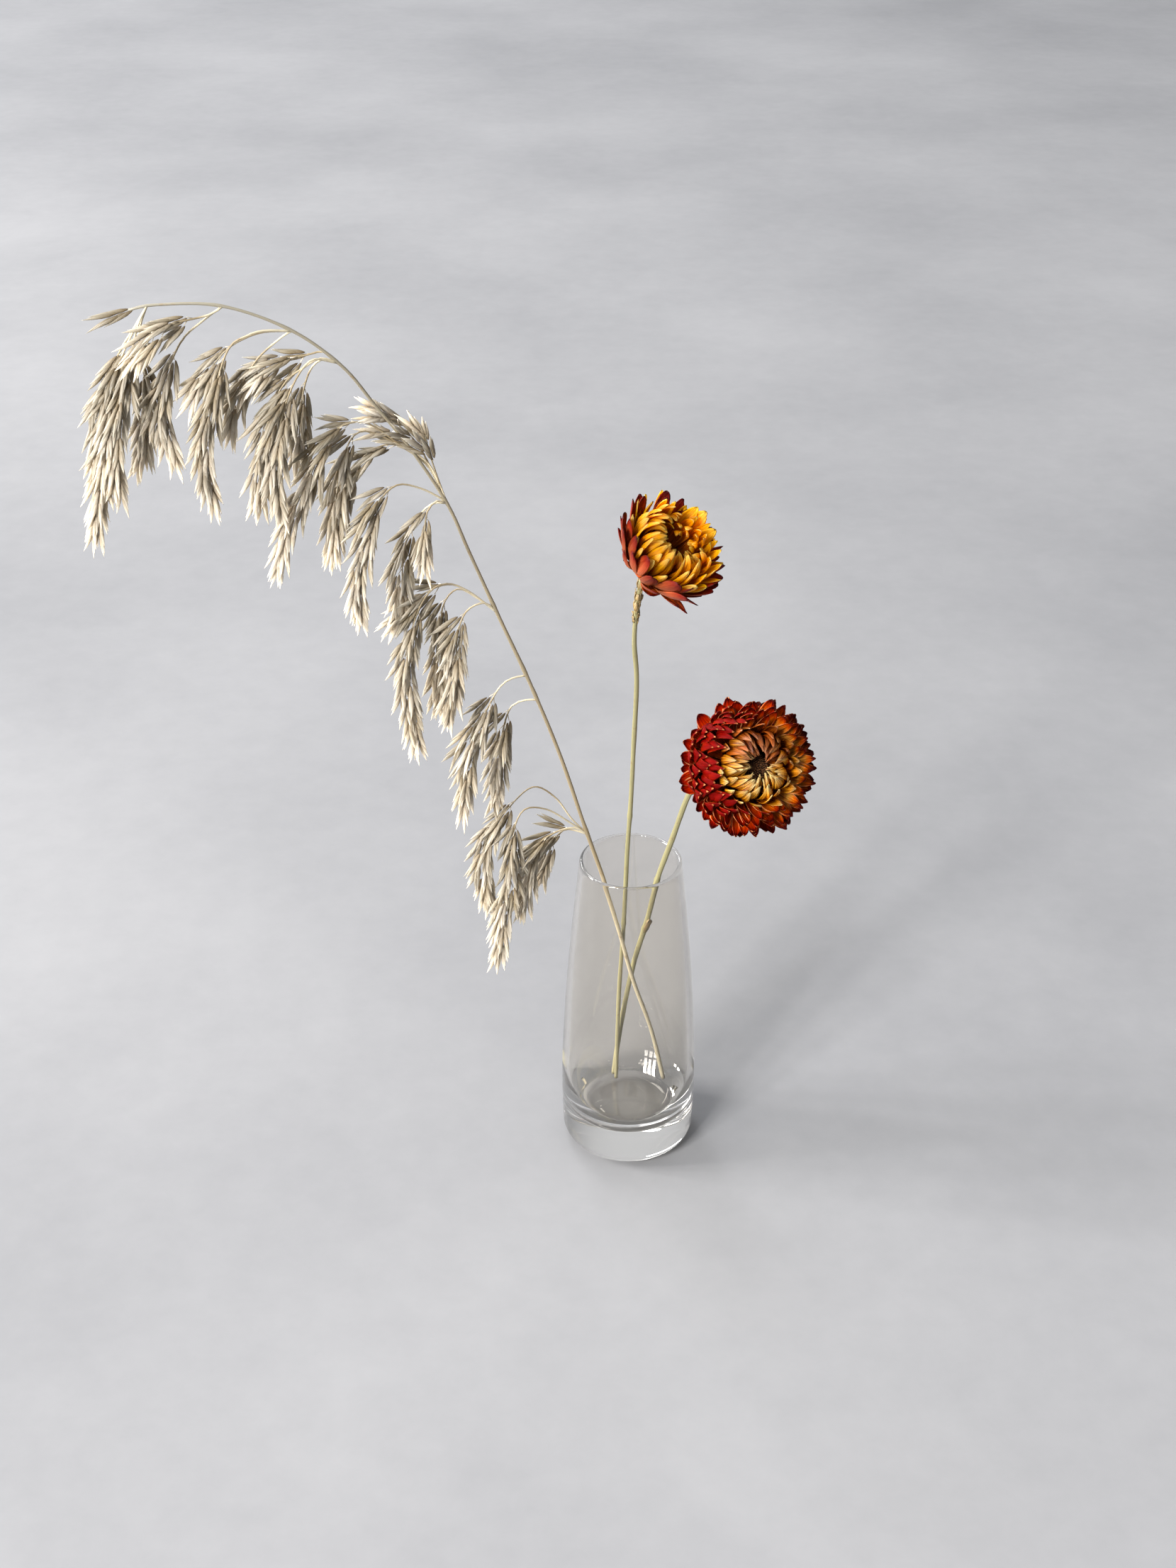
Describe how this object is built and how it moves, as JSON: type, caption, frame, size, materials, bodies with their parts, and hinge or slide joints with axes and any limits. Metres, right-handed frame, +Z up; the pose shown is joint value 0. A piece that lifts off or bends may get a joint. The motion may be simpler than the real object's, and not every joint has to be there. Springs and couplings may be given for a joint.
{
  "type": "dried strawflower",
  "caption": "Dried strawflowers and an arching dried grass plume standing in a clear glass bud vase, for display on a table or shelf.",
  "frame": {"origin": "centre of the vase's flat underside, which rests on the surface", "axes": "+Z up along the vase's axis, +X to the right and +Y away from the viewer in the picture"},
  "size_m": [0.2146, 0.1103, 0.3467],
  "materials": {
    "clear_glass": "polished",
    "straw_stem": "matte",
    "grass_straw": "matte",
    "rust_bract": "satin",
    "gold_bract": "satin",
    "crimson_bract": "satin",
    "bronze_bract": "satin",
    "dark_gold_disc": "matte",
    "dark_brown_disc": "matte"
  },
  "bodies": {
    "root": {"vase": "clear_glass", "stem_upper": "straw_stem", "bloom_upper_outer_bracts": "rust_bract", "bloom_upper_inner_bracts": "gold_bract", "bloom_upper_disc": "dark_gold_disc", "stem_lower": "straw_stem", "bloom_lower_outer_bracts": "crimson_bract", "bloom_lower_inner_bracts": "bronze_bract", "bloom_lower_disc": "dark_brown_disc", "grass_plume": "grass_straw"}
  },
  "joints": []
}
